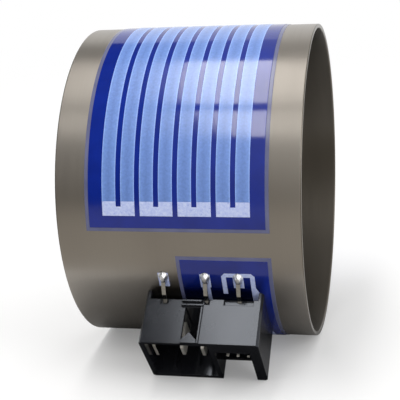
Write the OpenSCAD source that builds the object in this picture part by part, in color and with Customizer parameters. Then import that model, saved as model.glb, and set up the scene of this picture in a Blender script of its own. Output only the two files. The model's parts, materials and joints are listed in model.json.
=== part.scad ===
// Tube heater for a flow-through appliance: a short steel tube with a printed heating circuit
// wrapped round it, and a plug connector that stands on the tube and is soldered to the print.
//
// The tube lies along X. Seen from the front, the connector points along -Y before the whole
// heater is rolled forward into its lying position. Angles round the tube start at the
// connector and grow upward over the front, the top, the back and the underside.

/* [Tube] */
// Outside diameter of the steel tube
tube_od = 80; // [60:0.5:100]
// Wall of the steel tube
tube_wall = 1; // [0.6:0.1:2]
// Length of the tube
tube_len = 58; // [54:0.5:90]
// Size of the broken edge at each rim
rim_break = 0.2; // [0.05:0.05:0.25]

/* [Print] */
// Width of the printed panel along the tube
panel_w = 43.4; // [41:0.1:50]
// Angle of the panel's front edge above the connector
panel_front = 36.5; // [33:0.5:60]
// Angle of the panel's rear edge, under the tube
panel_rear = 285; // [275:1:295]
// Width of the tongue that runs on under the connector
tongue_w = 22.6; // [21:0.1:26]
// Angle of the tongue's edge above the connector
tongue_front = 27.6; // [25:0.1:31]
// Thickness of the glass insulation
glaze_t = 0.2; // [0.12:0.01:0.3]
// Thickness of the first glass layer, which shows as a border
base_glaze_t = 0.1; // [0.06:0.01:0.11]
// Width of that border
border_w = 0.9; // [0.4:0.1:1.1]
// Number of heating tracks, always even
track_count = 8; // [4:2:8]
// Width of a heating track
track_w = 3.3; // [2:0.1:3.5]
// Bare gap between tracks
track_gap = 1.2; // [0.8:0.1:1.3]
// Depth to which tracks and conductors are sunk in the glass
print_depth = 0.06; // [0.03:0.01:0.08]
// Height of the heating tracks above the glass
track_proud = 0.05; // [0.02:0.01:0.1]
// Margin between the panel's edge and a bridge
bridge_margin = 3.8; // [2:0.1:5]
// Width of the bar that joins two tracks
bridge_bar = 2.2; // [1:0.1:3]
// Length of a bridge's ear along its track
bridge_ear = 1.2; // [0.5:0.1:2]
// Width of a feed conductor
feed_w = 1.9; // [1:0.1:2.4]

/* [Terminals] */
// Place of the earth lead along the tube
earth_lead_x = -4.5; // [-6:0.1:-3.5]
// Place of the neutral lead along the tube
neutral_lead_x = 5.6; // [4.5:0.1:6]
// Place of the live lead along the tube
live_lead_x = 13.5; // [12.5:0.1:14.5]
// Angle of the end of the leads
lead_end = 20; // [19:0.1:21]
// Width of a soldering pad
pad_w = 2.5; // [1.8:0.1:3]
// Length of a soldering pad round the tube
pad_len = 4; // [3:0.1:5]
// Width of the live loop's frame, measured outside
loop_w = 7.9; // [7:0.1:8.4]
// Line width of the live loop
loop_line = 1.1; // [0.8:0.1:1.4]
// Thickness of the weld pad on bare steel
weld_pad_t = 0.15; // [0.1:0.05:0.3]

/* [Connector] */
// Width of the connector along the tube
conn_w = 28.4; // [27.4:0.1:32]
// Place of the connector's middle along the tube
conn_x = 5; // [4.5:0.1:5.5]
// Depth of the connector round the tube
conn_d = 18; // [17:0.1:20]
// Height of the connector's mouth above the steel
conn_h = 13; // [12:0.1:18]
// Wall of the connector
conn_wall = 1.2; // [0.8:0.1:1.4]
// Wall beside the sensor socket
side_wall = 2.5; // [1.6:0.1:3]
// Wall above the sensor socket
roof_wall = 4.3; // [3:0.1:4.8]
// Height of the socket floor above the steel
floor_h = 4; // [3.6:0.1:5]
// Clearance between the connector's saddle and the print
saddle_gap = 0.3; // [0.2:0.05:0.4]
// Width of the feet at the saddle's ends
foot_w = 1.2; // [0.8:0.1:1.2]
// Width of the sensor socket
sensor_w = 8.3; // [7.6:0.1:8.8]
// Depth of the plug notch in front of the sensor socket
notch_h = 5; // [3:0.1:6]
// Width of the latch slot
latch_w = 3.8; // [3:0.1:4]
// Place of the latch slot along the tube
latch_x = 2.8; // [2.5:0.1:3]
// Chamfer on the connector's corners
corner = 0.5; // [0.2:0.05:0.7]

/* [Contacts] */
// Sheet thickness of the power contacts
blade_t = 0.8; // [0.6:0.05:1]
// Width of the earth blade
earth_w = 6.3; // [5:0.1:6.3]
// Width of the other power blades
blade_w = 4.8; // [4:0.1:5]
// Place of the earth blade
earth_x = -7.1; // [-7.2:0.05:-6.9]
// Place of the neutral blade
neutral_x = -0.4; // [-0.6:0.05:-0.2]
// Distance between the neutral and the live blade
blade_pitch = 5; // [4.8:0.05:5.2]
// Set-back of the blade tips from the mouth
blade_setback = 2.4; // [1:0.1:4]
// Distance between sensor pins
pin_pitch = 2.5; // [2:0.05:2.54]
// Thickness of a sensor pin
pin_t = 0.64; // [0.5:0.02:0.7]
// Set-back of the pin tips from the mouth
pin_setback = 2.8; // [2:0.1:4]
// Width of a soldered lead
lead_w = 1; // [0.8:0.05:1.2]

/* [Hidden] */
$fn = 256;
eps = 0.01;
far = 100;

// Share of the tube's radius by which cutting wedges reach inward and outward
wedge_reach = 0.2;

tube_r = tube_od / 2;
glaze_r = tube_r + glaze_t;
sunk_r = glaze_r - print_depth;

// Angle that a length on the tube's surface spans
function span(length) = length / tube_r * 180 / PI;

// Edges of the panel and the tongue along the tube
panel_l = -panel_w / 2;
panel_r = panel_w / 2;
tongue_l = panel_r - tongue_w;
tongue_end = 360 + tongue_front;

// Tracks and their bridges
track_pitch = track_w + track_gap;
track_1_x = -(track_count - 1) / 2 * track_pitch;
function track_x(i) = track_1_x + (i - 1) * track_pitch;
bridge_len = bridge_bar + bridge_ear;
bridge_front = panel_front + span(bridge_margin);
track_front = bridge_front + span(bridge_len);
feed_lane = 6.4;
bridge_rear = panel_rear - span(feed_lane);
track_rear = bridge_rear - span(bridge_len);

// Stretches of one print run into each other by this much
lap = span(0.4);

// Terminal pads, counted from the ends of the leads
pad_over = 0.5;
pad_top = lead_end + span(pad_over);
pad_foot = pad_top - span(pad_len);
loop_over = 0.9;
loop_top = lead_end + span(loop_over);
loop_len = 8.6;
loop_foot = loop_top - span(loop_len);
loop_leg = 2;
loop_l = live_lead_x - loop_w / 2;
loop_r = live_lead_x + loop_w / 2;
feed_lane_mid = (bridge_rear + panel_rear) / 2;

// Connector: v runs round the tube, u outward from the axis
conn_l = conn_x - conn_w / 2;
conn_r = conn_x + conn_w / 2;
half_d = conn_d / 2;
mouth_u = tube_r + conn_h;
floor_u = tube_r + floor_h;
saddle_r = glaze_r + saddle_gap;
sensor_r = conn_r - side_wall;
sensor_l = sensor_r - sensor_w;
power_l = conn_l + conn_wall;
power_r = sensor_l - conn_wall;
inner_v = half_d - conn_wall;
base_sink = 3;
plateau_step = 0.35;
plateau_v = half_d - plateau_step;
latch_l = latch_x - latch_w / 2;
latch_r = latch_x + latch_w / 2;
slot_sink = 0.6;
slot_back_u = floor_u - slot_sink;

// Wedge that the plug's latch snaps behind, and low ribs beside the slot
catch_len = 2.9;
catch_lip = 0.8;
catch_proud = 0.3;
rib_w = 0.5;
rib_h = 0.35;
rib_pitch = 1.1;
rib_start = 0.7;
rib_u = slot_back_u - rib_start;
rib_reach = 1;

// Gaps along the back edges, where the leads come out between the feet
gap_d = 2.5;
gap_h = 2.2;
gap_r = tube_r + gap_h;

// Notches over the leads, and keying ribs between the blades
notch_d = 0.8;
notch_w = 1.9;
wide_notch_w = 7;
notch_over = 0.5;
key_w = 0.8;
key_h = 1.3;
key_setback = 1.5;

// The live feed stays under the connector's right edge
live_lane_inset = 0.3;
live_lane_x = conn_r - feed_w / 2 - live_lane_inset;

// Contacts: a flat sheet layer buried in the connector's floor carries them sideways
layer_h = 2.4;
layer_u = tube_r + layer_h;
live_x = neutral_x + blade_pitch;
blade_tip_u = mouth_u - blade_setback;
pin_tip_u = mouth_u - pin_setback;
earth_bar_v = 5.2;
neutral_bar_v = 6;
live_bar_v = 3.4;
bar_w = 1.2;
pin_v = -2.5;
pin_mid_x = (sensor_l + sensor_r) / 2;
sensor_lead_1 = 0.7;
sensor_lead_2 = 2.3;
sensor_lead_3 = 2.7;
sensor_bar_near = 3.6;
sensor_bar_far = 5.4;
blade_bevel = 0.6;
pin_bevel = 0.15;

// Lead: its bend inside the connector, its exit at the back, and its foot on the pad
bend_in = 2.2;
exit_in = 0.8;
exit_high = 0.95;
exit_low = 0.6;
foot_start = 2.6;
foot_flat = 1.7;
foot_rise = 0.45;
foot_gap = 0.02;

// Solder: wide over the lead's end, narrow where the lead leaves it
solder_r = 1.15;
solder_taper = 0.9;
solder_in = 0.75;
solder_h = 0.25;
crown_r = 0.55;
crown_in = 1;
neck_r = 0.62;
neck_h = 0.2;
root = 0.3;
function pin_x(i) = pin_mid_x + (i - 2) * pin_pitch;
sensor_lead_x = [latch_l + sensor_lead_1, pin_mid_x - sensor_lead_2, pin_mid_x + sensor_lead_3];
sensor_bar_v = [sensor_bar_near, sensor_bar_far, sensor_bar_far];

// Thermistor chip between the last two sensor pads, a little further round the tube
ntc_len = 2;
ntc_w = 1.25;
ntc_t = 0.7;
ntc_cap = 0.4;
ntc_x = (sensor_lead_x[1] + sensor_lead_x[2]) / 2;
ntc_off = 3;
ntc_high = 360 - lead_end - span(ntc_off);
ntc_low = ntc_high - span(ntc_w);
trace_w = 0.8;

// The heater rolls forward until the connector's lower mouth corner meets the ground
corner_r = norm([mouth_u, half_d]);
lie = asin(glaze_r / corner_r) - atan(half_d / mouth_u);

/* Placing */

// Turns the upright heater into its lying position
module lying() {
    rotate([lie, 0, 0])
        children();
}

// From a shape drawn round Z to one that lies round the tube, with x at minus Z
module round_tube() {
    lying()
        rotate([90, 0, 0])
            rotate([0, -90, 0])
                children();
}

// From X along the tube, Y up round it and Z outward, to the connector's place
module at_connector() {
    lying()
        rotate([90, 0, 0])
            children();
}

// The connector's axes, turned up round the tube by an angle
module at_angle(angle) {
    lying()
        rotate([90 - angle, 0, 0])
            children();
}

// A flat-sided wedge over the part of the tube between two places and two angles
module field(x0, x1, angle0, angle1) {
    steps = ceil((angle1 - angle0) / 20);
    stops = [for (i = [0:steps]) angle0 + (angle1 - angle0) * i / steps];
    round_tube()
        translate([0, 0, -x1])
            linear_extrude(x1 - x0)
                polygon(concat(
                    [for (a = stops) tube_r * (1 + wedge_reach) * [cos(a), sin(a)]],
                    [for (i = [steps:-1:0])
                        tube_r * (1 - wedge_reach) * [cos(stops[i]), sin(stops[i])]]
                ));
}

// What the children and the hollow cylinder between two radii have in common
module layer(r0, r1) {
    intersection() {
        difference() {
            rod(r1, -tube_len, tube_len);
            rod(r0, -far, far);
        }
        union()
            children();
    }
}

// Print sunk in the glass; a proud height lifts its face above it
module printed(proud = 0) {
    layer(sunk_r, glaze_r + proud)
        children();
}

// A plate drawn as [v, u] points and extruded along the tube
module plate(x, width) {
    at_connector()
        translate([x - width / 2, 0, 0])
            rotate([90, 0, 90])
                linear_extrude(width)
                    children();
}

// A box in the connector's axes, given by its limits
module block(x0, x1, v0, v1, u0, u1) {
    at_connector()
        translate([x0, v0, u0])
            cube([x1 - x0, v1 - v0, u1 - u0]);
}

// A solid rod along the tube's axis, for cutting saddles
module rod(radius, x0, x1) {
    round_tube()
        translate([0, 0, -x1])
            cylinder(r = radius, h = x1 - x0);
}

/* Tube and insulation */

module heater_tube() {
    inner_r = tube_r - tube_wall;
    half = tube_len / 2;
    color([0.62, 0.6, 0.57])
        round_tube()
            rotate_extrude()
                polygon([
                    [inner_r, -half], [tube_r - rim_break, -half],
                    [tube_r, rim_break - half], [tube_r, half - rim_break],
                    [tube_r - rim_break, half], [inner_r, half]
                ]);
}

// The panel and its tongue, drawn in by an inset all round
module print_field(inset) {
    turn = span(inset);
    field(panel_l + inset, panel_r - inset, panel_front + turn, panel_rear - turn);
    field(tongue_l + inset, panel_r - inset, panel_rear - turn - lap, tongue_end - turn);
}

// Everything that is printed on the glass
module circuit_field() {
    for (i = [1:track_count])
        track_field(i);
    for (i = [1:track_count / 2])
        bridge_field(2 * i - 1, bridge_front, 1);
    for (i = [1:track_count / 2 - 1])
        bridge_field(2 * i, bridge_rear, -1);
    neutral_feed_field();
    live_feed_field();
    for (i = [1:3])
        sensor_pad_field(i);
}

// Two glass layers, the upper one a border's width smaller all round, with the print sunk in
module insulation_glaze() {
    color([0.05, 0.12, 0.5])
        difference() {
            layer(tube_r, glaze_r)
                print_field(0);
            difference() {
                rod(far, -far, far);
                rod(tube_r + base_glaze_t, -2 * far, 2 * far);
                print_field(border_w);
            }
            difference() {
                circuit_field();
                rod(sunk_r, -far, far);
            }
        }
}

/* Heating circuit */

module track_field(i) {
    x = track_x(i);
    field(x - track_w / 2, x + track_w / 2, track_front, track_rear);
}

module track(i) {
    color([0.55, 0.66, 0.86])
        printed(track_proud)
            track_field(i);
}

// A U-shaped bridge from track i to the next; turn is 1 in front and -1 at the rear
module bridge_field(i, edge, turn) {
    x0 = track_x(i) - track_w / 2;
    x1 = track_x(i + 1) + track_w / 2;
    bar_end = edge + turn * span(bridge_bar);
    ear_end = edge + turn * span(bridge_len);
    field(x0, x1, min(edge, bar_end), max(edge, bar_end));
    for (x = [track_x(i), track_x(i + 1)])
        field(x - track_w / 2, x + track_w / 2, min(edge, ear_end), max(edge, ear_end));
}

module front_bridge(i) {
    color([0.75, 0.82, 0.97])
        printed(track_proud)
            bridge_field(2 * i - 1, bridge_front, 1);
}

module rear_bridge(i) {
    color([0.75, 0.82, 0.97])
        printed(track_proud)
            bridge_field(2 * i, bridge_rear, -1);
}

// From the first track across the panel and along the tongue to the neutral pad
module neutral_feed_field() {
    x0 = track_x(1);
    x1 = neutral_lead_x;
    lane_low = feed_lane_mid - span(feed_w / 2);
    lane_high = feed_lane_mid + span(feed_w / 2);
    field(x0 - track_w / 2, x0 + track_w / 2, track_rear, bridge_rear);
    field(x0 - feed_w / 2, x0 + feed_w / 2, bridge_rear - lap, lane_high);
    field(x0 - feed_w / 2, x1 + feed_w / 2, lane_low, lane_high);
    field(x1 - feed_w / 2, x1 + feed_w / 2, lane_low, 360 + pad_foot + lap);
    field(x1 - pad_w / 2, x1 + pad_w / 2, 360 + pad_foot, 360 + pad_top);
}

module neutral_feed() {
    color([0.8, 0.84, 0.95])
        printed()
            neutral_feed_field();
}

// From the last track, along the tongue's edge, to a loop round the live terminal
module live_feed_field() {
    x0 = track_x(track_count);
    x1 = live_lead_x;
    bar = span(loop_line);
    foot = 360 + loop_foot;
    top = 360 + loop_top;
    lane_high = feed_lane_mid + span(feed_w);
    field(x0 - track_w / 2, x0 + track_w / 2, track_rear, bridge_rear);
    field(x0 - feed_w / 2, x0 + feed_w / 2, bridge_rear - lap, lane_high);
    field(x0 - feed_w / 2, live_lane_x + feed_w / 2, feed_lane_mid, lane_high);
    field(live_lane_x - feed_w / 2, live_lane_x + feed_w / 2, feed_lane_mid, foot + bar);
    field(loop_r - loop_line, live_lane_x + feed_w / 2, foot, foot + bar);
    field(loop_r - loop_line, loop_r, foot, top);
    field(loop_l, loop_r, top - bar, top);
    field(loop_l, loop_l + loop_line, 360 + pad_foot - span(loop_leg), top);
    field(x1 - pad_w / 2, x1 + pad_w / 2, 360 + pad_foot, top);
}

module live_feed() {
    color([0.8, 0.84, 0.95])
        printed()
            live_feed_field();
}

/* Pads on the sensor side and on bare steel */

module earth_weld_pad() {
    color([0.8, 0.8, 0.78])
        layer(tube_r, tube_r + weld_pad_t)
            field(earth_lead_x - pad_w / 2, earth_lead_x + pad_w / 2, pad_foot, pad_top);
}

// The first pad stands alone; the other two reach back to the thermistor's ends
module sensor_pad_field(i) {
    x = sensor_lead_x[i - 1];
    out = i == 2 ? -1 : 1;
    near_x = ntc_x + out * (ntc_len / 2 - ntc_cap);
    top = 360 - pad_top;
    field(x - pad_w / 2, x + pad_w / 2, top, 360 - pad_foot);
    if (i > 1) {
        field(x - trace_w / 2, x + trace_w / 2, ntc_low, top + lap);
        field(min(near_x, x + out * trace_w / 2), max(near_x, x + out * trace_w / 2),
            ntc_low, ntc_high);
    }
}

module sensor_pad(i) {
    color([0.8, 0.84, 0.95])
        printed()
            sensor_pad_field(i);
}

module ntc_thermistor() {
    color([0.25, 0.2, 0.17])
        difference() {
            at_angle((ntc_low + ntc_high) / 2)
                translate([ntc_x - ntc_len / 2, -ntc_w / 2, tube_r - root])
                    cube([ntc_len, ntc_w, root + glaze_t + ntc_t]);
            rod(glaze_r, -tube_len, tube_len);
        }
}

/* Connector */

// The outside: a block with broken corners, its left half a step lower than the right
module housing_outside() {
    at_connector()
        translate([0, 0, tube_r - base_sink])
            linear_extrude(conn_h + base_sink)
                polygon([
                    [conn_l + corner, -half_d], [conn_r - corner, -half_d],
                    [conn_r, corner - half_d], [conn_r, half_d - corner],
                    [conn_r - corner, half_d], [latch_r, half_d],
                    [latch_r, plateau_v], [conn_l + corner, plateau_v],
                    [conn_l, plateau_v - corner], [conn_l, corner - half_d]
                ]);
}

// Saddle: the left foot stands on steel, the right one on the glass, the rest clears both
module saddle_cut() {
    rod(tube_r, conn_l - eps, conn_l + foot_w);
    rod(saddle_r, conn_l + foot_w, conn_r - foot_w);
    rod(glaze_r, conn_r - foot_w, conn_r + eps);
}

module sockets() {
    block(power_l, power_r, -inner_v, inner_v, floor_u, far);
    block(sensor_l, sensor_r, -inner_v, half_d - roof_wall, floor_u, far);
    block(sensor_l, sensor_r, -far, 0, mouth_u - notch_h, far);
}

// The latch slot runs from the mouth down to the floor
module latch_slot() {
    block(latch_l, latch_r, 0, far, slot_back_u, far);
}

// A wedge across the slot's mouth, where the plug's latch snaps in
module latch_catch() {
    at_connector()
        translate([0, inner_v, 0])
            rotate([-90, 0, 0])
                linear_extrude(half_d - inner_v + catch_proud)
                    polygon([
                        [latch_l - eps, -mouth_u], [latch_r + eps, -mouth_u],
                        [latch_r + eps, catch_lip - mouth_u], [latch_x, catch_len - mouth_u],
                        [latch_l - eps, catch_lip - mouth_u]
                    ]);
}

// Low ribs that stiffen the slot's back end and its right side
module slot_ribs() {
    for (i = [0:1])
        block(latch_l - rib_reach, latch_r + rib_w, plateau_v - eps, half_d + rib_h,
            rib_u - i * rib_pitch, rib_u - i * rib_pitch + rib_w);
    block(latch_r, latch_r + rib_w, half_d - eps, half_d + rib_h, slot_back_u, mouth_u);
}

// Both back edges stand off the tube, so that the leads are open to view before their pads
module lead_gaps() {
    intersection() {
        rod(gap_r, conn_l + foot_w, conn_r - foot_w);
        union() {
            block(conn_l, conn_r, half_d - gap_d, far, 0, far);
            block(conn_l, conn_r, -far, gap_d - half_d, 0, far);
        }
    }
}

// Notches in the back edge over the leads, and under it for the sensor leads
module lead_notches() {
    notch_top = gap_r + notch_over;
    for (x = [earth_lead_x, neutral_lead_x])
        block(x - notch_w / 2, x + notch_w / 2, plateau_v - notch_d, far, 0, notch_top);
    block(live_lead_x - wide_notch_w / 2, live_lead_x + wide_notch_w / 2, half_d - notch_d, far,
        0, notch_top);
    for (x = sensor_lead_x)
        block(x - notch_w / 2, x + notch_w / 2, -far, notch_d - half_d, 0, notch_top);
}

// Keying ribs on the floor side of the power socket, between the blades
module keying_ribs() {
    for (x = [(earth_x + neutral_x) / 2, (neutral_x + live_x) / 2])
        block(x - key_w / 2, x + key_w / 2, -inner_v - eps, key_h - inner_v,
            floor_u - eps, mouth_u - key_setback);
}

module connector_housing() {
    color([0.07, 0.07, 0.08])
        difference() {
            union() {
                difference() {
                    housing_outside();
                    sockets();
                    latch_slot();
                }
                latch_catch();
                slot_ribs();
                keying_ribs();
            }
            saddle_cut();
            lead_gaps();
            lead_notches();
            earth_contact_shape();
            neutral_contact_shape();
            live_contact_shape();
            for (i = [1:3])
                sensor_pin_shape(i);
        }
}

/* Contacts */

// Unit normal of the line from p to q
function normal(p, q) = [p[1] - q[1], q[0] - p[0]] / norm(q - p);

// Normal at point i of a path, long enough that a mitred strip keeps its thickness
function miter(path, i) =
    let (
        a = normal(path[max(i - 1, 0)], path[max(i, 1)]),
        b = normal(path[min(i, len(path) - 2)], path[min(i + 1, len(path) - 1)])
    )
    2 * (a + b) / pow(norm(a + b), 2);

// Outline of a strip of even thickness along a path
function ribbon(path, thickness) = concat(
    [for (i = [0:len(path) - 1]) path[i] + miter(path, i) * thickness / 2],
    [for (i = [len(path) - 1:-1:0]) path[i] - miter(path, i) * thickness / 2]
);

// A point of the lead that lies on a pad, as [v, u]
function on_pad(angle, radius) = [radius * sin(angle), radius * cos(angle)];

// Route of a lead from the buried layer, out of the connector's back and down to its pad
function lead_path(bar_v, pad_r, thickness) = [
    [bar_v, layer_u + thickness / 2],
    [half_d - bend_in, layer_u + thickness / 2],
    [half_d - exit_in, tube_r + exit_high],
    [half_d + exit_in, tube_r + exit_low],
    on_pad(lead_end - span(foot_start), pad_r + foot_rise + thickness / 2),
    on_pad(lead_end - span(foot_flat), pad_r + foot_gap + thickness / 2),
    on_pad(lead_end, pad_r + foot_gap + thickness / 2)
];

// The buried foot, the sideways bar and the lead of one contact; side is 1 up and -1 down
module contact_tail(x, lead_x, from_v, bar_v, side, thickness, pad_r) {
    mirror_v = side < 0 ? 1 : 0;
    bar_low = bar_v - bar_w / 2;
    bar_high = bar_v + bar_w / 2;
    left = min(x - thickness / 2, lead_x - lead_w / 2);
    right = max(x + thickness / 2, lead_x + lead_w / 2);
    lying() mirror([0, 0, mirror_v]) rotate([-lie, 0, 0]) {
        block(x - thickness / 2, x + thickness / 2, from_v, bar_high, layer_u,
            layer_u + thickness);
        block(left, right, bar_low, bar_high, layer_u, layer_u + thickness);
        difference() {
            plate(lead_x, lead_w)
                polygon(ribbon(lead_path(bar_v, pad_r, thickness), thickness));
            rod(pad_r, -tube_len, tube_len);
        }
    }
}

// A flat blade with a bevelled tip
module blade_shape(x, width, thickness, v, tip_u, bevel) {
    plate(x, thickness)
        polygon([
            [v - width / 2, layer_u], [v + width / 2, layer_u],
            [v + width / 2, tip_u - 2 * bevel], [v + width / 2 - bevel, tip_u],
            [v - width / 2 + bevel, tip_u], [v - width / 2, tip_u - 2 * bevel]
        ]);
}

module earth_contact_shape() {
    blade_shape(earth_x, earth_w, blade_t, 0, blade_tip_u, blade_bevel);
    contact_tail(earth_x, earth_lead_x, 0, earth_bar_v, 1, blade_t, tube_r + weld_pad_t);
}

module neutral_contact_shape() {
    blade_shape(neutral_x, blade_w, blade_t, 0, blade_tip_u, blade_bevel);
    contact_tail(neutral_x, neutral_lead_x, 0, neutral_bar_v, 1, blade_t, glaze_r);
}

module live_contact_shape() {
    blade_shape(live_x, blade_w, blade_t, 0, blade_tip_u, blade_bevel);
    contact_tail(live_x, live_lead_x, 0, live_bar_v, 1, blade_t, glaze_r);
}

module sensor_pin_shape(i) {
    blade_shape(pin_x(i), pin_t, pin_t, pin_v, pin_tip_u, pin_bevel);
    contact_tail(pin_x(i), sensor_lead_x[i - 1], -pin_v - pin_t / 2, sensor_bar_v[i - 1], -1,
        pin_t, glaze_r);
}

module earth_contact() {
    color([0.82, 0.8, 0.74])
        earth_contact_shape();
}

module neutral_contact() {
    color([0.82, 0.8, 0.74])
        neutral_contact_shape();
}

module live_contact() {
    color([0.82, 0.8, 0.74])
        live_contact_shape();
}

module sensor_pin(i) {
    color([0.82, 0.8, 0.74])
        sensor_pin_shape(i);
}

/* Solder */

// A fillet of solder over the lead's end: wide at the pad's top, narrow where the lead leaves
module solder(x, side, pad_r, thickness) {
    difference() {
        hull() {
            at_angle(side * (lead_end - span(solder_in)))
                translate([x, 0, pad_r - root])
                    cylinder(r1 = solder_r, r2 = solder_r * solder_taper, h = root + solder_h, $fn = 24);
            at_angle(side * (lead_end - span(crown_in)))
                translate([x, 0, pad_r + thickness])
                    sphere(r = crown_r, $fn = 16);
            at_angle(side * (lead_end - span(foot_start)))
                translate([x, 0, pad_r - root])
                    cylinder(r = neck_r, h = root + neck_h, $fn = 16);
        }
        rod(pad_r, -tube_len, tube_len);
        children();
    }
}

module earth_solder() {
    color([0.85, 0.86, 0.88])
        solder(earth_lead_x, 1, tube_r + weld_pad_t, blade_t)
            earth_contact_shape();
}

module neutral_solder() {
    color([0.85, 0.86, 0.88])
        solder(neutral_lead_x, 1, glaze_r, blade_t)
            neutral_contact_shape();
}

module live_solder() {
    color([0.85, 0.86, 0.88])
        solder(live_lead_x, 1, glaze_r, blade_t)
            live_contact_shape();
}

module sensor_solder(i) {
    color([0.85, 0.86, 0.88])
        solder(sensor_lead_x[i - 1], -1, glaze_r, pin_t)
            sensor_pin_shape(i);
}

heater_tube();
insulation_glaze();
for (i = [1:track_count])
    track(i);
for (i = [1:track_count / 2])
    front_bridge(i);
for (i = [1:track_count / 2 - 1])
    rear_bridge(i);
neutral_feed();
live_feed();
earth_weld_pad();
for (i = [1:3])
    sensor_pad(i);
ntc_thermistor();
connector_housing();
earth_contact();
neutral_contact();
live_contact();
for (i = [1:3])
    sensor_pin(i);
earth_solder();
neutral_solder();
live_solder();
for (i = [1:3])
    sensor_solder(i);
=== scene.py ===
import json
import math

import bmesh
import bpy
from mathutils import Matrix, Vector


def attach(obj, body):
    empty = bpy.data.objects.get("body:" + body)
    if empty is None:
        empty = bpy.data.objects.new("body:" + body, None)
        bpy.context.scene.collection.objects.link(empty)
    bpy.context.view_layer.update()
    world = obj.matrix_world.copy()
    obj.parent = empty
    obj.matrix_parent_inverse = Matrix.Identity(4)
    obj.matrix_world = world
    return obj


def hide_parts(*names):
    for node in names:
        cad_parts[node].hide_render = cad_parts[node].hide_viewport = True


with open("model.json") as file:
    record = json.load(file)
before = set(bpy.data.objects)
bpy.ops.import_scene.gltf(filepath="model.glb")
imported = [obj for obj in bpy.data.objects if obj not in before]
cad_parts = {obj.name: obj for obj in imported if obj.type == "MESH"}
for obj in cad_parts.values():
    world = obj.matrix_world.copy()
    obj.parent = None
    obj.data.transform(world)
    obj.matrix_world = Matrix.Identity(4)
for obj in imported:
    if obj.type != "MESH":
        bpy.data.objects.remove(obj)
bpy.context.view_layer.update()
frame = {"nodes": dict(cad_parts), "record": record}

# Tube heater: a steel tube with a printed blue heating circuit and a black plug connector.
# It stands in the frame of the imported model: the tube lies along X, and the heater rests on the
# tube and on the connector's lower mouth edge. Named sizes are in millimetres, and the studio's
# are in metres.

nodes = frame["nodes"]
mounts = {m["name"]: m for m in frame["record"]["mounts"]}

MM = 0.001

# Tube, with its sizes read from the mounts
TUBE_R = mounts["left_seal_land"]["dims"]["r_mm"]
TUBE_WALL = TUBE_R - mounts["bore"]["dims"]["r_mm"]
TUBE_LEN = mounts["bore"]["dims"]["length_mm"]
RIM_ROUND = 0.22
RIM_SUPPORT = 0.5

# Places round the tube, in degrees up from the connector and on round the back
LEAD_END = 20.0
PANEL_FRONT = 36.5
PANEL_REAR = 285.0
TONGUE_FRONT = 387.6

# Glass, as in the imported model, and the first coat whose margin the top coat leaves bare
PANEL_W = 43.4
TONGUE_W = 22.6
GLAZE_T = 0.2
FIRST_COAT_T = 0.1
MARGIN_W = 0.9

# Tracks and the bridges that join them; prints are sunk into the glass and stand proud of it
PRINT_DEPTH = 0.06
TRACK_PROUD = 0.05
TRACK_COUNT = 8
TRACK_W = 3.3
TRACK_PITCH = 4.5
BRIDGE_MARGIN = 3.8
BRIDGE_BAR = 2.2
BRIDGE_EAR = 1.2

# Feeds, with the lane that they take behind the bridges
FEED_PROUD = 0.012
FEED_W = 1.9
FEED_LANE = 6.4
LIVE_LANE_X = 17.95

# Soldering pads and the loop round the live one, which reach a little past the lead's end
PAD_W = 2.5
PAD_LEN = 4.0
PAD_AHEAD = 0.5
LOOP_W = 7.9
LOOP_LINE = 1.1
LOOP_LEN = 8.6
LOOP_AHEAD = 0.9
LOOP_CORNER = 0.8
LOOP_LEG_DROP = 2.0
LOOP_FLARE_W = 1.5
LOOP_FLARE_LEN = 3.2

# Leads, and the solder joints over their ends, longer behind along the lead than ahead of it
LEAD_X = {"earth": -4.5, "neutral": 5.6, "live": 13.5}
SENSOR_LEAD_X = (1.6, 10.25, 15.25)
WELD_PAD_T = 0.15
JOINT_H = 1.1
SENSOR_JOINT_H = 0.95
JOINT_ACROSS = 1.22
JOINT_AHEAD = 1.3
JOINT_BEHIND = 2.7
JOINT_BACK = 0.35

# Shares of a joint: its level cap, and how much it narrows towards its tail
JOINT_CAP = 0.3
JOINT_TAPER = 0.4

# Distance of the socket floors from the tube's axis, where the leads turn into blades and pins
SOCKET_FLOOR = 44.0

# Softened and rounded edges, and the distance under which the housing's corners are joined
GLAZE_SOFTEN = 0.07
PRINT_SOFTEN = 0.05
FEED_SOFTEN = 0.03
CONTACT_ROUND = 0.08
HOUSING_ROUND = 0.1
HOUSING_JOIN = 0.03
CLEAN_JOIN = 0.002

# How finely round shapes are drawn
RIM_STEPS = 3
TUBE_TURNS = 360
STRIP_DEGREES = 2.0
JOINT_RINGS = 12
JOINT_TURNS = 32
SOFTEN_STEPS = 2

# Angles in degrees up to which faces count as flat, and from which an edge is rounded
FLAT_ANGLE = 1
EDGE_ANGLE = 32

# How closely a face's normal follows the round where it is smoothed, as a cosine
ROUND_MATCH = 0.98

# The painted shade beside the connector, from all to none: across it, towards the tube's axis and
# along
PAINTED_SHADE_ACROSS = (9.2, 14.5)
PAINTED_SHADE_INWARD = (10.0, 0.0)
PAINTED_SHADE_ALONG = (17.5, 20.0)

# How far the heater is rolled forward, read from the direction that the socket faces
socket_axis = mounts["power_socket"]["axis"]
LIE = math.degrees(math.atan2(-socket_axis[2], -socket_axis[1]))


def span(length):
    """Degrees round the tube that a length on its surface takes."""
    return math.degrees(length / TUBE_R)


def on_tube(x, angle, radius):
    """A point at a place along the tube, an angle up from the connector and a radius, in mm."""
    turn = math.radians(angle - LIE)
    return Vector((x, -radius * math.cos(turn), radius * math.sin(turn))) * MM


# Meshes


def add_object(name, mesh, slot, *stands_for):
    """A piece of the visual model, and the nodes that it stands for."""
    obj = bpy.data.objects.new(name, mesh)
    bpy.context.scene.collection.objects.link(obj)
    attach(obj, "root")
    if stands_for:
        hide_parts(*stands_for)
    return obj


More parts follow.
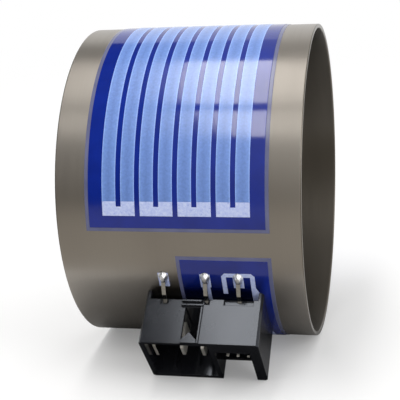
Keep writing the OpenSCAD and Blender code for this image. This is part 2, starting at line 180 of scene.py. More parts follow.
def closed_mesh(name, verts, faces):
    """A smooth mesh with its faces turned outwards."""
    mesh = bpy.data.meshes.new(name)
    mesh.from_pydata(verts, [], faces)
    bm = bmesh.new()
    bm.from_mesh(mesh)
    bmesh.ops.recalc_face_normals(bm, faces=bm.faces)
    bm.to_mesh(mesh)
    bm.free()
    mesh.shade_smooth()
    return mesh


def flat_slab(outline, thickness):
    """A slab laid flat, and the corners of its top."""
    bm = bmesh.new()
    bottom = [bm.verts.new((x, y, 0)) for x, y in outline]
    top = [bm.verts.new((x, y, thickness)) for x, y in outline]
    bm.faces.new(top)
    bm.faces.new(bottom[::-1])
    for i in range(len(outline)):
        j = (i + 1) % len(outline)
        bm.faces.new((bottom[i], bottom[j], top[j], top[i]))
    bmesh.ops.recalc_face_normals(bm, faces=bm.faces)
    return bm, top


def soften_top(bm, top, width):
    """Rounds the edges round a slab's top."""
    corners = set(top)
    rim = [e for e in bm.edges if e.verts[0] in corners and e.verts[1] in corners]
    bmesh.ops.bevel(bm, geom=rim, offset=width, segments=SOFTEN_STEPS, profile=0.5,
                    affect="EDGES", clamp_overlap=True)


def cut_across(bm, low, high, stride):
    """Cuts a flat slab into strips, so that it can follow the round tube."""
    cut = math.floor(low / stride) * stride + stride
    while cut < high:
        geom = bm.verts[:] + bm.edges[:] + bm.faces[:]
        bmesh.ops.bisect_plane(bm, geom=geom, dist=1e-5, plane_co=(0, cut, 0), plane_no=(0, 1, 0))
        cut += stride


def radial_normals(mesh):
    """Gives faces that look straight out from the tube's axis the true round normals."""
    normals = []
    for face in mesh.polygons:
        for index in face.vertices:
            point = mesh.vertices[index].co
            out = Vector((0, point.y, point.z)).normalized()
            normals.append(out if face.normal.dot(out) > ROUND_MATCH else face.normal)
    mesh.normals_split_custom_set(normals)


def printed_slab(name, outline, low, high, soften, slot, *stands_for):
    """A printed layer with softened top edges, wrapped round the tube.

    outline holds (x in mm, angle in degrees) corners; low and high are radii in mm.
    """
    flat = [(x, math.radians(angle) * TUBE_R) for x, angle in outline]
    arcs = [arc for _, arc in flat]
    bm, top = flat_slab(flat, high - low)
    soften_top(bm, top, soften)
    cut_across(bm, min(arcs), max(arcs), math.radians(STRIP_DEGREES) * TUBE_R)
    for v in bm.verts:
        v.co = on_tube(v.co.x, math.degrees(v.co.y / TUBE_R), low + v.co.z)
    mesh = bpy.data.meshes.new(name)
    bm.to_mesh(mesh)
    bm.free()
    mesh.shade_smooth()
    radial_normals(mesh)
    return add_object(name, mesh, slot, *stands_for)


# Tube


def wall_section():
    """The wall's cut section as (x, radius) corners: rounded rims with support loops beside."""
    half, inner = TUBE_LEN / 2, TUBE_R - TUBE_WALL
    outer_round, inner_round = [], []
    for k in range(RIM_STEPS + 1):
        turn = math.radians(90 * k / RIM_STEPS)
        rise, reach = RIM_ROUND * math.sin(turn), RIM_ROUND * math.cos(turn)
        outer_round.append((half - RIM_ROUND + rise, TUBE_R - RIM_ROUND + reach))
        inner_round.append((half - RIM_ROUND + reach, inner + RIM_ROUND - rise))
    support = half - RIM_SUPPORT
    right = [(support, TUBE_R)] + outer_round + inner_round + [(support, inner)]
    return right + [(-x, r) for x, r in reversed(right)]


def mark_bore(mesh):
    """Gives the tube's inside and its cut rims the second material."""
    middle = (TUBE_R - TUBE_WALL / 2) * MM
    flat_end = (TUBE_LEN / 2 - RIM_ROUND) * MM
    for face in mesh.polygons:
        inside = math.hypot(face.center.y, face.center.z) < middle
        face.material_index = 1 if inside or abs(face.center.x) > flat_end else 0


def make_tube():
    """The wall's section turned round the axis."""
    section = wall_section()
    size = len(section)
    verts = [on_tube(x, 360 * i / TUBE_TURNS, r) for i in range(TUBE_TURNS) for x, r in section]
    faces = []
    for i in range(TUBE_TURNS):
        a, b = i * size, (i + 1) % TUBE_TURNS * size
        for k in range(size):
            m = (k + 1) % size
            faces.append((a + k, a + m, b + m, b + k))
    tube = add_object("steel_tube", closed_mesh("steel_tube", verts, faces), "steel", "heater_tube")
    mark_bore(tube.data)
    return tube


# Print

panel_l, panel_r = -PANEL_W / 2, PANEL_W / 2
tongue_l = panel_r - TONGUE_W
glaze_r = TUBE_R + GLAZE_T
sunk_r = glaze_r - PRINT_DEPTH
bridge_front = PANEL_FRONT + span(BRIDGE_MARGIN)
track_front = bridge_front + span(BRIDGE_BAR + BRIDGE_EAR)
bridge_rear = PANEL_REAR - span(FEED_LANE)
track_rear = bridge_rear - span(BRIDGE_BAR + BRIDGE_EAR)
lane_mid = (bridge_rear + PANEL_REAR) / 2
pad_top = LEAD_END + span(PAD_AHEAD)
pad_foot = pad_top - span(PAD_LEN)
loop_top = LEAD_END + span(LOOP_AHEAD)
loop_foot = loop_top - span(LOOP_LEN)


def l_shape(inset):
    """Outline of the panel with its tongue, drawn in by an inset."""
    turn = span(inset)
    left, right, tongue = panel_l + inset, panel_r - inset, tongue_l + inset
    front, rear, end = PANEL_FRONT + turn, PANEL_REAR - turn, TONGUE_FRONT - turn
    return [(left, front), (right, front), (right, end), (tongue, end), (tongue, rear),
            (left, rear)]


def make_glaze():
    """The first coat, and the top coat that leaves a margin of it bare."""
    under = printed_slab("glaze_first_coat", l_shape(0), TUBE_R, TUBE_R + FIRST_COAT_T,
                         GLAZE_SOFTEN, "blue_glaze")
    upper = printed_slab("glaze_top_coat", l_shape(MARGIN_W), TUBE_R + FIRST_COAT_T / 2, glaze_r,
                         GLAZE_SOFTEN, "blue_glaze", "insulation_glaze")
    return under, upper


def track_x(i):
    """Middle of track i, counted from 1."""
    return (i - (TRACK_COUNT + 1) / 2) * TRACK_PITCH


def track_outline(i):
    left, right = track_x(i) - TRACK_W / 2, track_x(i) + TRACK_W / 2
    return [(left, track_front), (right, track_front), (right, track_rear), (left, track_rear)]


def bridge_outline(i, edge, turn):
    """A bridge over tracks i and i + 1, with an ear on each; turn is 1 or -1 round the tube."""
    x0, x3 = track_x(i) - TRACK_W / 2, track_x(i + 1) + TRACK_W / 2
    x1, x2 = x0 + TRACK_W, x3 - TRACK_W
    bar = edge + turn * span(BRIDGE_BAR)
    ear = edge + turn * span(BRIDGE_BAR + BRIDGE_EAR)
    return [(x0, edge), (x3, edge), (x3, ear), (x2, ear), (x2, bar), (x1, bar), (x1, ear),
            (x0, ear)]


def feed_outline(x, path):
    """The stub at the end of the track at x, and then the feed's path."""
    wide, half = TRACK_W / 2, FEED_W / 2
    stub = [(x - wide, track_rear), (x + wide, track_rear), (x + wide, bridge_rear),
            (x + half, bridge_rear)]
    return stub + path + [(x - half, bridge_rear), (x - wide, bridge_rear)]


def neutral_outline():
    """From the first track along the lane behind the bridges to the middle soldering pad."""
    half, turn, pad = FEED_W / 2, span(FEED_W / 2), PAD_W / 2
    x0, x1 = track_x(1), LEAD_X["neutral"]
    foot, end = 360 + pad_foot, 360 + pad_top
    return feed_outline(x0, [
        (x0 + half, lane_mid - turn), (x1 + half, lane_mid - turn), (x1 + half, foot),
        (x1 + pad, foot), (x1 + pad, end), (x1 - pad, end), (x1 - pad, foot),
        (x1 - half, foot), (x1 - half, lane_mid + turn), (x0 - half, lane_mid + turn),
    ])


def live_outline():
    """From the last track to the loop on the right, with the soldering pad inside it."""
    half, turn, pad = FEED_W / 2, span(FEED_W / 2), PAD_W / 2
    x0, x1 = track_x(TRACK_COUNT), LEAD_X["live"]
    left, right = x1 - LOOP_W / 2, x1 + LOOP_W / 2
    lane_l, lane_r = LIVE_LANE_X - half, LIVE_LANE_X + half
    bar, top, foot = span(LOOP_LINE), 360 + loop_top, 360 + loop_foot
    pad_end, leg_end = 360 + pad_foot, 360 + pad_foot - span(LOOP_LEG_DROP)
    return feed_outline(x0, [
        (x0 + half, lane_mid), (lane_r, lane_mid), (lane_r, foot + bar),
        (right + LOOP_FLARE_W, foot + bar), (right, foot + bar + span(LOOP_FLARE_LEN)),
        (right, top - span(LOOP_CORNER)), (right - LOOP_CORNER, top),
        (left + LOOP_CORNER, top), (left, top - span(LOOP_CORNER)), (left, leg_end),
        (left + LOOP_LINE, leg_end), (left + LOOP_LINE, top - bar), (x1 - pad, top - bar),
        (x1 - pad, pad_end), (x1 + pad, pad_end), (x1 + pad, top - bar),
        (right - LOOP_LINE, top - bar), (right - LOOP_LINE, foot), (lane_l, foot),
        (lane_l, lane_mid + 2 * turn), (x0 - half, lane_mid + 2 * turn),
    ])


def printed_node(node, outline, proud, soften, slot):
    """A print sunk into the glaze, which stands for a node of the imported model."""
    return printed_slab(f"{node}_print", outline, sunk_r, glaze_r + proud, soften, slot, node)


def make_tracks():
    return [printed_node(f"track_{i}", track_outline(i), TRACK_PROUD, PRINT_SOFTEN, "track_print")
            for i in range(1, TRACK_COUNT + 1)]


def make_conductors():
    """The bridges that join the tracks in pairs, and the two feeds with their pads."""
    pairs = TRACK_COUNT // 2
    outlines = {f"front_bridge_{i}": bridge_outline(2 * i - 1, bridge_front, 1)
                for i in range(1, pairs + 1)}
    outlines |= {f"rear_bridge_{i}": bridge_outline(2 * i, bridge_rear, -1)
                 for i in range(1, pairs)}
    bridges = [printed_node(node, outline, TRACK_PROUD, PRINT_SOFTEN, "conductor_print")
               for node, outline in outlines.items()]
    feeds = {"neutral_feed": neutral_outline(), "live_feed": live_outline()}
    return bridges + [printed_node(node, outline, FEED_PROUD, FEED_SOFTEN, "conductor_print")
                      for node, outline in feeds.items()]


# Solder


def joint_height(out, high):
    """Height at a share of the way out: level on top, then a smooth fall to the pad."""
    fall = min(1.0, max(0.0, (out - JOINT_CAP) / (1 - JOINT_CAP)))
    return high * (1 - fall * fall * (3 - 2 * fall))


def joint_corners(x, side, pad_r, high):
    """The top of a joint, the rings of corners round it and the middle of its foot."""
    centre = LEAD_END - span(JOINT_BACK)
    corners = [on_tube(x, side * centre, pad_r + high)]
    for i in range(1, JOINT_RINGS + 1):
        out = i / JOINT_RINGS
        rise = joint_height(out, high)
        for k in range(JOINT_TURNS):
            turn = 2 * math.pi * k / JOINT_TURNS
            dx = out * JOINT_ACROSS * math.cos(turn)
            ds = out * math.sin(turn) * (JOINT_AHEAD if math.sin(turn) > 0 else JOINT_BEHIND)
            narrow = 1 - JOINT_TAPER * max(0.0, -ds / JOINT_BEHIND)
            corners.append(on_tube(x + dx * narrow, side * (centre + span(ds)), pad_r + rise))
    return corners + [on_tube(x, side * centre, pad_r)]


def joint_faces():
    """A fan at the top, bands between the rings and a fan over the foot."""
    turns = JOINT_TURNS
    faces = [(0, 1 + k, 1 + (k + 1) % turns) for k in range(turns)]
    for i in range(JOINT_RINGS - 1):
        a, b = 1 + i * turns, 1 + (i + 1) * turns
        for k in range(turns):
            m = (k + 1) % turns
            faces.append((a + k, b + k, b + m, a + m))
    rim, foot = 1 + (JOINT_RINGS - 1) * turns, 1 + JOINT_RINGS * turns
    return faces + [(foot, rim + (k + 1) % turns, rim + k) for k in range(turns)]


def solder_joint(name, x, side, pad_r, high, node):
    """A joint over a lead's end; side is 1 above the connector and -1 below it."""
    mesh = closed_mesh(name, joint_corners(x, side, pad_r, high), joint_faces())
    return add_object(name, mesh, "solder", node)


def make_solder():
    """One joint for each lead; the earth lead stands on its pad on bare steel."""
    joints = []
    for lead, x in LEAD_X.items():
        pad_r = TUBE_R + WELD_PAD_T if lead == "earth" else glaze_r
        joints.append(solder_joint(f"{lead}_joint", x, 1, pad_r, JOINT_H, f"{lead}_solder"))
    for i, x in enumerate(SENSOR_LEAD_X, 1):
        joints.append(solder_joint(f"sensor_joint_{i}", x, -1, glaze_r, SENSOR_JOINT_H,
                                   f"sensor_solder_{i}"))
    return joints


# Shader nodes


def set_inputs(node, values):
    """Values for a node's unlinked sockets."""
    for key, value in values.items():
        node.inputs[key].default_value = value


def new_material(name, values=None):
    """A material, its node tree and its shader, with values for the shader's own sockets."""
    material = bpy.data.materials.new(name)
    material.use_nodes = True
    tree = material.node_tree
    shader = tree.nodes["Principled BSDF"]
    set_inputs(shader, values or {})
    return material, tree, shader


def add(tree, kind, inputs=None, **settings):
    """A node with its settings and its unlinked inputs."""
    node = tree.nodes.new(kind)
    for key, value in settings.items():
        setattr(node, key, value)
    set_inputs(node, inputs or {})
    return node


def axes(tree, space):
    """The X, Y and Z of Object or Generated coordinates."""
    coords = add(tree, "ShaderNodeTexCoord")
    split = add(tree, "ShaderNodeSeparateXYZ")
    tree.links.new(coords.outputs[space], split.inputs["Vector"])
    return split.outputs


def along(tree, axis):
    """Object coordinates measured along an axis."""
    coords = add(tree, "ShaderNodeTexCoord")
    dot = add(tree, "ShaderNodeVectorMath", {1: axis}, operation="DOT_PRODUCT")
    tree.links.new(coords.outputs["Object"], dot.inputs[0])
    return dot.outputs["Value"]


def map_range(tree, value, from_low, from_high, to_low=0.0, to_high=1.0, kind="LINEAR"):
    """Maps one range of a value to another, and holds it at both ends."""
    node = add(tree, "ShaderNodeMapRange", {"From Min": from_low, "From Max": from_high,
                                            "To Min": to_low, "To Max": to_high},
               interpolation_type=kind)
    tree.links.new(value, node.inputs["Value"])
    return node.outputs["Result"]


def highest(tree, values):
    """The highest of several values."""
    most = values[0]
    for value in values[1:]:
        node = add(tree, "ShaderNodeMath", operation="MAXIMUM")
        tree.links.new(most, node.inputs[0])
        tree.links.new(value, node.inputs[1])
        most = node.outputs[0]
    return most


def streaks(tree, scale, detail=3.0, roughness=0.55):
    """Noise over object coordinates; scale is per metre along each axis."""
    coords = add(tree, "ShaderNodeTexCoord")
    mapping = add(tree, "ShaderNodeMapping", {"Scale": scale})
    tree.links.new(coords.outputs["Object"], mapping.inputs["Vector"])
    node = add(tree, "ShaderNodeTexNoise", {"Scale": 1.0, "Detail": detail,
                                            "Roughness": roughness})
    tree.links.new(mapping.outputs["Vector"], node.inputs["Vector"])
    return node.outputs["Fac"]


def noise(tree, scale, detail=3.0, roughness=0.55):
    """Noise that is alike in all directions; scale is per metre."""
    return streaks(tree, (scale,) * 3, detail, roughness)


def ramp(tree, value, stops):
    """Maps a value through (position, colour) stops."""
    node = add(tree, "ShaderNodeValToRGB")
    band = node.color_ramp
    while len(band.elements) < len(stops):
        band.elements.new(0.5)
    for element, (position, colour) in zip(band.elements, stops):
        element.position = position
        element.color = (*colour, 1)
    tree.links.new(value, node.inputs["Fac"])
    return node.outputs["Color"]


def two_tone(tree, value, first, second, start=0.3, end=0.7):
    """Maps noise from one colour to another over the middle of its range."""
    return ramp(tree, value, [(start, first), (end, second)])


def number_range(tree, value, low, high):
    """Maps noise to numbers, as a grey ramp."""
    return two_tone(tree, value, (low,) * 3, (high,) * 3)


def mix_colour(tree, factor, first, second, blend_type="MIX"):
    """Mixes two colours; each input is a value or an output of another node."""
    node = add(tree, "ShaderNodeMix", data_type="RGBA", blend_type=blend_type)
    for key, value in (("Factor", factor), ("A", first), ("B", second)):
        if isinstance(value, bpy.types.NodeSocket):
            tree.links.new(value, node.inputs[key])
        else:
            node.inputs[key].default_value = value
    return node.outputs["Result"]


def bump(tree, shader, height, strength, depth):
    """Relief from noise; depth is in millimetres."""
    node = add(tree, "ShaderNodeBump", {"Strength": strength, "Distance": depth * MM})
    tree.links.new(height, node.inputs["Height"])
    tree.links.new(node.outputs["Normal"], shader.inputs["Normal"])


# Materials


def steel(name, dark, light, roughness):
    """Satin stainless steel, brushed round the tube, so that reflections smear along it."""
    material, tree, shader = new_material(name, {"Metallic": 1.0, "Anisotropic": 0.75,
                                                 "Anisotropic Rotation": 0.25})
    marks = streaks(tree, (3200, 45, 45))
    clouds = streaks(tree, (40, 30, 30), detail=2.0)
    tree.links.new(two_tone(tree, clouds, dark, light), shader.inputs["Base Color"])
    spread = 0.03
    tree.links.new(number_range(tree, marks, roughness - spread, roughness + spread),
                   shader.inputs["Roughness"])
    around = add(tree, "ShaderNodeTangent", direction_type="RADIAL", axis="X")
    tree.links.new(around.outputs["Tangent"], shader.inputs["Tangent"])
    bump(tree, shader, marks, strength=0.05, depth=0.01)
    return material


def outside_painted_shade(tree):
    """Painted shade's mask: 0 beside the connector, 1 a few millimetres away and all over the far
    half.
    """
    turn = math.radians(LIE)
    beside = add(tree, "ShaderNodeMath", operation="ABSOLUTE")
    tree.links.new(along(tree, (0, -math.sin(turn), math.cos(turn))), beside.inputs[0])
    outward = along(tree, (0, -math.cos(turn), -math.sin(turn)))
    lengthwise = along(tree, (1, 0, 0))
    ranges = ((beside.outputs[0], PAINTED_SHADE_ACROSS), (outward, PAINTED_SHADE_INWARD), (lengthwise, PAINTED_SHADE_ALONG))
    return highest(tree, [map_range(tree, value, full * MM, none * MM)
                          for value, (full, none) in ranges])


def blue_glaze():
    """Deep blue glass, with shade painted into its colour beside the connector."""
    # The first colour is painted shade: the glaze darkened beside the connector, where the shade
    # under it falls.
    painted_shade, deep, clear = (0.0012, 0.0025, 0.02, 1), (0.0015, 0.014, 0.2), (0.0025, 0.02, 0.27)
    material, tree, shader = new_material("blue_glaze", {"Roughness": 0.1,
                                                         "Specular IOR Level": 0.65})
    unshaded = two_tone(tree, noise(tree, 120), deep, clear)
    tree.links.new(mix_colour(tree, outside_painted_shade(tree), painted_shade, unshaded),
                   shader.inputs["Base Color"])
    bump(tree, shader, noise(tree, 900, detail=2.0), strength=0.06, depth=0.05)
    return material


def thin_glaze():
    """The first coat, so thin at its edge that the steel shows through it."""
    material, tree, shader = new_material("thin_glaze", {"Roughness": 0.2})
    tone = two_tone(tree, noise(tree, 150), (0.105, 0.115, 0.22), (0.15, 0.16, 0.28))
    tree.links.new(tone, shader.inputs["Base Color"])
    return material


def track_print():
    """Pale blue resistor print, lighter along both edges, under clear glass."""
    edge, shoulder, middle = (0.32, 0.5, 0.98), (0.17, 0.3, 0.7), (0.135, 0.24, 0.58)
    material, tree, shader = new_material("track_print", {"Roughness": 0.2,
                                                          "Specular IOR Level": 0.8})
    across = ramp(tree, axes(tree, "Generated")["X"], [
        (0.0, edge), (0.1, shoulder), (0.5, middle), (0.9, shoulder), (1.0, edge)])
    grain = number_range(tree, noise(tree, 1800, detail=4.0), 0.9, 1.1)
    tree.links.new(mix_colour(tree, 1.0, across, grain, "MULTIPLY"), shader.inputs["Base Color"])
    bump(tree, shader, noise(tree, 2500), strength=0.1, depth=0.03)
    return material


def conductor_print():
    """Matt printed silver, with the blue showing through its pores."""
    pore, thin, full = (0.2, 0.27, 0.62), (0.45, 0.53, 0.88), (0.66, 0.73, 0.98)
    material, tree, shader = new_material("conductor_print", {"Roughness": 0.35})
    grain = noise(tree, 1500, detail=5.0, roughness=0.7)
    tree.links.new(ramp(tree, grain, [(0.3, pore), (0.37, thin), (0.68, full)]),
                   shader.inputs["Base Color"])
    bump(tree, shader, grain, strength=0.2, depth=0.05)
    return material


def solder_metal():
    """Bright solder with a slightly wavy skin."""
    material, tree, shader = new_material("solder", {"Metallic": 1.0, "Roughness": 0.36})
    waves = noise(tree, 700)
    tree.links.new(two_tone(tree, waves, (0.72, 0.73, 0.76), (0.9, 0.91, 0.93)),
                   shader.inputs["Base Color"])
    bump(tree, shader, waves, strength=0.12, depth=0.1)
    return material


def tinned_metal(name, dark, light, roughness):
    """Tin plating with fine marks; dark and light are the colours that it drifts between."""
    material, tree, shader = new_material(name, {"Metallic": 1.0})
    marks = noise(tree, 1800)
    tree.links.new(two_tone(tree, marks, dark, light), shader.inputs["Base Color"])
    tree.links.new(number_range(tree, marks, roughness, roughness + 0.1),
                   shader.inputs["Roughness"])
    return material


def black_plastic():
    """Moulded black plastic with a fine satin grain."""
    material, tree, shader = new_material("black_plastic", {
        "Specular IOR Level": 0.5, "Specular Tint": (0.84, 0.9, 1.0, 1)})
    drift = noise(tree, 140)
    tree.links.new(two_tone(tree, drift, (0.009, 0.0095, 0.012), (0.013, 0.0135, 0.0165)),
                   shader.inputs["Base Color"])
    tree.links.new(number_range(tree, drift, 0.13, 0.16), shader.inputs["Roughness"])
    bump(tree, shader, noise(tree, 3200, detail=2.0), strength=0.05, depth=0.03)
    return material


def ceramic_chip():
    """Matt brown ceramic with a fine speckle."""
    material, tree, shader = new_material("ceramic_chip", {"Roughness": 0.5})
    tone = two_tone(tree, noise(tree, 2500), (0.05, 0.035, 0.028), (0.1, 0.075, 0.06),
                    start=0.35, end=0.65)
    tree.links.new(tone, shader.inputs["Base Color"])
    return material


# Dressing


def dress(objects, *materials):
    """Puts materials in an object's slots, whatever was there."""
    for obj in objects:
        slots = obj.data.materials
        for i, material in enumerate(materials):
            if i < len(slots):
                slots[i] = material
            else:
                slots.append(material)


def soften_edges(obj, width, join=CLEAN_JOIN):
    """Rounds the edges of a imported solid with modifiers; its own corners stay as they are.

    width is the rounding's and join the distance under which corners become one, in mm.
    """
    weld = obj.modifiers.new("join", "WELD")
    weld.merge_threshold = join * MM
    merge = obj.modifiers.new("merge_flat", "DECIMATE")
    merge.decimate_type = "DISSOLVE"
    merge.angle_limit = math.radians(FLAT_ANGLE)
    bevel = obj.modifiers.new("soften", "BEVEL")
    bevel.width = width * MM
    bevel.segments = SOFTEN_STEPS
    bevel.limit_method = "ANGLE"
    bevel.angle_limit = math.radians(EDGE_ANGLE)
    bevel.use_clamp_overlap = False
    for face in obj.data.polygons:
        face.use_smooth = False


def dress_tube():
    outer = steel("steel", (0.335, 0.308, 0.277), (0.37, 0.343, 0.308), roughness=0.4)
    # The bore's steel is darker than the outside: partly heat tint from firing, partly painted
    # shade inside the tube and on its cut rims.
    bore = steel("bore_steel", (0.145, 0.132, 0.112), (0.18, 0.163, 0.14), roughness=0.36)
    dress([make_tube()], outer, bore)


def dress_print():
    under, upper = make_glaze()
    dress([under], thin_glaze())
    dress([upper], blue_glaze())
    dress(make_tracks(), track_print())
    pads = [nodes["earth_weld_pad"]] + [nodes[f"sensor_pad_{i}"] for i in (1, 2, 3)]
    dress(make_conductors() + pads, conductor_print())


def dress_contacts():
    """Glossy leads, and paler and duller blades and pins from the socket floor outwards."""
    # One tin plating in two copies: the leads' darker tin is painted shade, and the blades' and
    # pins' paler tin a painted highlight.
    lead = tinned_metal("tinned_lead", (0.3, 0.295, 0.28), (0.42, 0.41, 0.39), roughness=0.1)
    blade = tinned_metal("tinned_blade", (0.93, 0.92, 0.88), (0.98, 0.97, 0.94), roughness=0.68)
    for name, obj in nodes.items():
        if name.endswith("_contact") or name.startswith("sensor_pin"):
            dress([obj], lead, blade)
            for face in obj.data.polygons:
                radius = math.hypot(face.center.y, face.center.z)
                face.material_index = 1 if radius > SOCKET_FLOOR * MM else 0
            soften_edges(obj, CONTACT_ROUND)


def build_heater():
    dress_tube()
    dress_print()
    dress(make_solder(), solder_metal())
    dress_contacts()
    chip, housing = nodes["ntc_thermistor"], nodes["connector_housing"]
    dress([chip], ceramic_chip())
    soften_edges(chip, CONTACT_ROUND)
    dress([housing], black_plastic())
    soften_edges(housing, HOUSING_ROUND, HOUSING_JOIN)


# Studio

# Floor, with the distances over which it fades to white, and white's share where the fade starts
FLOOR_Z = -glaze_r * MM
FLOOR_REACH = 4.0
FLOOR_FADE = (0.08, 0.6)
FLOOR_FADE_START = 0.2

# Room card: flat over the floor, then an arc in degrees up and over
CARD_NEAR = 0.055
CARD_FLAT_END = 1.0
CARD_FAR = 1.2
CARD_LIFT = 0.002
CARD_ARC_LIFT = 0.02
CARD_ARC = 135
CARD_STEPS = 24
CARD_HALF_WIDTH = 2.0

# Its light: tones from the floor (0) up to CARD_FAR (1), and its strength from left to right
ROOM_TONES = (
    (0.0, (0.36, 0.34, 0.31)), (0.06, (0.36, 0.343, 0.32)), (0.42, (0.5, 0.485, 0.46)),
    (0.62, (0.56, 0.55, 0.535)), (0.92, (0.5, 0.495, 0.485)), (1.0, (0.55, 0.545, 0.54)))
ROOM_SIDES = (-0.38, -0.06)
ROOM_STRENGTH = (0.12, 1.5)

# World's strength at the horizon and overhead
DOME_LEVELS = (0.5, 1.15)

# Lamps: each window pane has a front and a back end along Y
WINDOW_X = -0.12
WINDOW_Z = 0.74
WINDOW_W = 0.12
WINDOW_PANES = {"front_pane": (-0.735, -0.365), "back_pane": (-0.275, 0.235)}
WINDOW_WATTS_PER_METRE = 2.45
WINDOW_COLOUR = (1.0, 0.98, 0.96)
SOFTBOX_AT = (0.87, -0.42, 0.5)
SOFTBOX_W = 0.5
SOFTBOX_WATTS = 2.8

# Camera, with its lens in millimetres and its roll in degrees
CAMERA_AT = (0.0585, -0.2614, 0.072)
CAMERA_TARGET = (-0.0025, -0.004, -0.0045)
CAMERA_LENS = 94
CAMERA_ROLL = -3.3
CAMERA_CLIP = (0.01, 20)


def swept_sheet(name, profile, left, right, material):
    """A sheet of the studio, swept along X from a (y, z) profile."""
    verts = [(x, y, z) for y, z in profile for x in (left, right)]
    faces = [(2 * i, 2 * i + 1, 2 * i + 3, 2 * i + 2) for i in range(len(profile) - 1)]
    mesh = bpy.data.meshes.new(name)
    mesh.from_pydata(verts, [], faces)
    mesh.shade_smooth()
    obj = bpy.data.objects.new(name, mesh)
    bpy.context.scene.collection.objects.link(obj)
    dress([obj], material)
    return obj


def reflected_only(obj):
    """Leaves a card to glossy and transmission rays."""
    obj.visible_camera = False
    obj.visible_shadow = False
    obj.visible_diffuse = False


def seen_rays(tree):
    """1 for camera, glossy and transmission rays, otherwise 0."""
    path = add(tree, "ShaderNodeLightPath")
    kinds = ("Is Camera Ray", "Is Glossy Ray", "Is Transmission Ray")
    return highest(tree, [path.outputs[kind] for kind in kinds])


def fade_to_white(tree, shader, seen):
    """Passes the shader into plain white with the distance from the heater, for seen rays."""
    coords = add(tree, "ShaderNodeTexCoord")
    distance = add(tree, "ShaderNodeVectorMath", operation="LENGTH")
    tree.links.new(coords.outputs["Object"], distance.inputs[0])
    share = add(tree, "ShaderNodeMath", operation="MULTIPLY")
    tree.links.new(map_range(tree, distance.outputs["Value"], *FLOOR_FADE, FLOOR_FADE_START, 1.0,
                             "SMOOTHSTEP"), share.inputs[0])
    tree.links.new(seen, share.inputs[1])
    white = add(tree, "ShaderNodeEmission")
    blend = add(tree, "ShaderNodeMixShader")
    tree.links.new(share.outputs[0], blend.inputs[0])
    tree.links.new(shader.outputs[0], blend.inputs[1])
    tree.links.new(white.outputs[0], blend.inputs[2])
    tree.links.new(blend.outputs[0], tree.nodes["Material Output"].inputs["Surface"])


def make_floor():
    """A wide floor, white paper to the eye, that throws back less light than paper would.

    Away from the heater it passes into the white of the backdrop, without an edge.
    """
    dull, paper = (0.42, 0.42, 0.42, 1), (0.9, 0.9, 0.9, 1)
    material, tree, shader = new_material("floor_paper", {"Roughness": 0.9,
                                                          "Specular IOR Level": 0.1})
    seen = seen_rays(tree)
    tree.links.new(mix_colour(tree, seen, dull, paper), shader.inputs["Base Color"])
    fade_to_white(tree, shader, seen)
    swept_sheet("floor", [(-FLOOR_REACH, FLOOR_Z), (FLOOR_REACH, FLOOR_Z)], -FLOOR_REACH,
                FLOOR_REACH, material)


def make_shade_card(name, tone, lift, sides, ends):
    """A dark patch just over the floor that only reflections show."""
    material = new_material(name, {"Base Color": (tone, tone, tone, 1), "Roughness": 1.0})[0]
    profile = [(y, FLOOR_Z + lift) for y in ends]
    reflected_only(swept_sheet(name, profile, *sides, material))


def make_shade():
    """The shade under the connector and the tube, deeper than the white floor gives."""
    make_shade_card("connector_shade", tone=0.02, lift=0.0004, sides=(-0.013, 0.021),
                    ends=(-0.056, -0.034))
    make_shade_card("tube_shade", tone=0.3, lift=0.0002, sides=(-0.036, 0.032),
                    ends=(-0.052, 0.03))


def room_profile():
    """The room card's sheet as (y, z) points."""
    low = FLOOR_Z + CARD_LIFT
    profile = [(-CARD_NEAR, low), (-CARD_FLAT_END, low)]
    for k in range(1, CARD_STEPS + 1):
        turn = math.radians(CARD_ARC * k / CARD_STEPS)
        profile.append((-CARD_FAR * math.cos(turn),
                        low + CARD_ARC_LIFT + CARD_FAR * math.sin(turn)))
    return profile


def make_room_card():
    """A grey sheet in front, from the floor up and over, that only reflections show.

    It gives the metal and the glaze the darker room that stands before them.
    """
    material, tree, shader = new_material("room_card", {"Base Color": (0, 0, 0, 1),
                                                        "Specular IOR Level": 0.0})
    place = axes(tree, "Object")
    tree.links.new(ramp(tree, map_range(tree, place["Z"], FLOOR_Z, CARD_FAR), ROOM_TONES),
                   shader.inputs["Emission Color"])
    tree.links.new(map_range(tree, place["X"], *ROOM_SIDES, *ROOM_STRENGTH),
                   shader.inputs["Emission Strength"])
    reflected_only(swept_sheet("room_card", room_profile(), -CARD_HALF_WIDTH, CARD_HALF_WIDTH,
                               material))


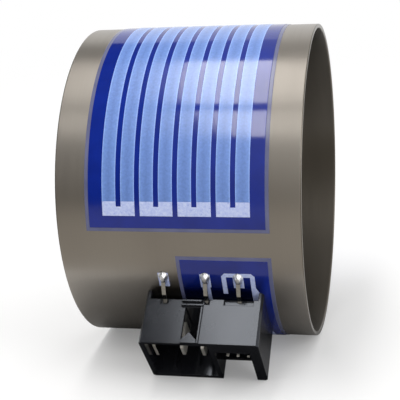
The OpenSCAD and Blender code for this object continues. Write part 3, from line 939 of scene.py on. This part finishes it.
def make_world():
    """White to the camera and to reflections; a soft dome, brighter above, lights the object."""
    world = bpy.data.worlds.new("studio")
    bpy.context.scene.world = world
    world.use_nodes = True
    tree = world.node_tree
    background = tree.nodes["Background"]
    dome = map_range(tree, axes(tree, "Generated")["Z"], 0.0, 1.0, *DOME_LEVELS)
    level = add(tree, "ShaderNodeMix", {"B": 1.0})
    tree.links.new(seen_rays(tree), level.inputs["Factor"])
    tree.links.new(dome, level.inputs["A"])
    tree.links.new(level.outputs["Result"], background.inputs["Strength"])
    background.inputs["Color"].default_value = (1, 1, 1, 1)


def area_light(name, location, target, size, watts, colour=(1, 1, 1)):
    lamp = bpy.data.lights.new(name, "AREA")
    lamp.shape = "RECTANGLE"
    lamp.size, lamp.size_y = size
    lamp.energy = watts
    lamp.color = colour
    obj = bpy.data.objects.new(name, lamp)
    bpy.context.scene.collection.objects.link(obj)
    obj.location = location
    aim = Vector(target) - Vector(location)
    obj.rotation_euler = aim.to_track_quat("-Z", "Y").to_euler()


def make_lights():
    """A window of two panes overhead, which the glass mirrors, and a softbox at the right."""
    for name, (front, back) in WINDOW_PANES.items():
        middle, length = (front + back) / 2, back - front
        area_light(name, (WINDOW_X, middle, WINDOW_Z), (WINDOW_X, middle, 0.0),
                   (WINDOW_W, length), WINDOW_WATTS_PER_METRE * length, WINDOW_COLOUR)
    area_light("side_softbox", SOFTBOX_AT, (0, 0, 0), (SOFTBOX_W, SOFTBOX_W), SOFTBOX_WATTS)


def make_camera():
    """The photograph's direction and distance, with a longer lens aimed at the heater."""
    camera = bpy.data.cameras.new("camera")
    camera.sensor_width = 36
    camera.lens = CAMERA_LENS
    camera.clip_start, camera.clip_end = CAMERA_CLIP
    obj = bpy.data.objects.new("camera", camera)
    bpy.context.scene.collection.objects.link(obj)
    obj.location = CAMERA_AT
    look = (Vector(CAMERA_TARGET) - obj.location).to_track_quat("-Z", "Y").to_matrix()
    roll = Matrix.Rotation(math.radians(CAMERA_ROLL), 3, "Z")
    obj.rotation_euler = (look @ roll).to_euler()
    bpy.context.scene.camera = obj


build_heater()
make_floor()
make_room_card()
make_shade()
make_world()
make_lights()
make_camera()
bpy.context.scene.view_settings.view_transform = "Standard"
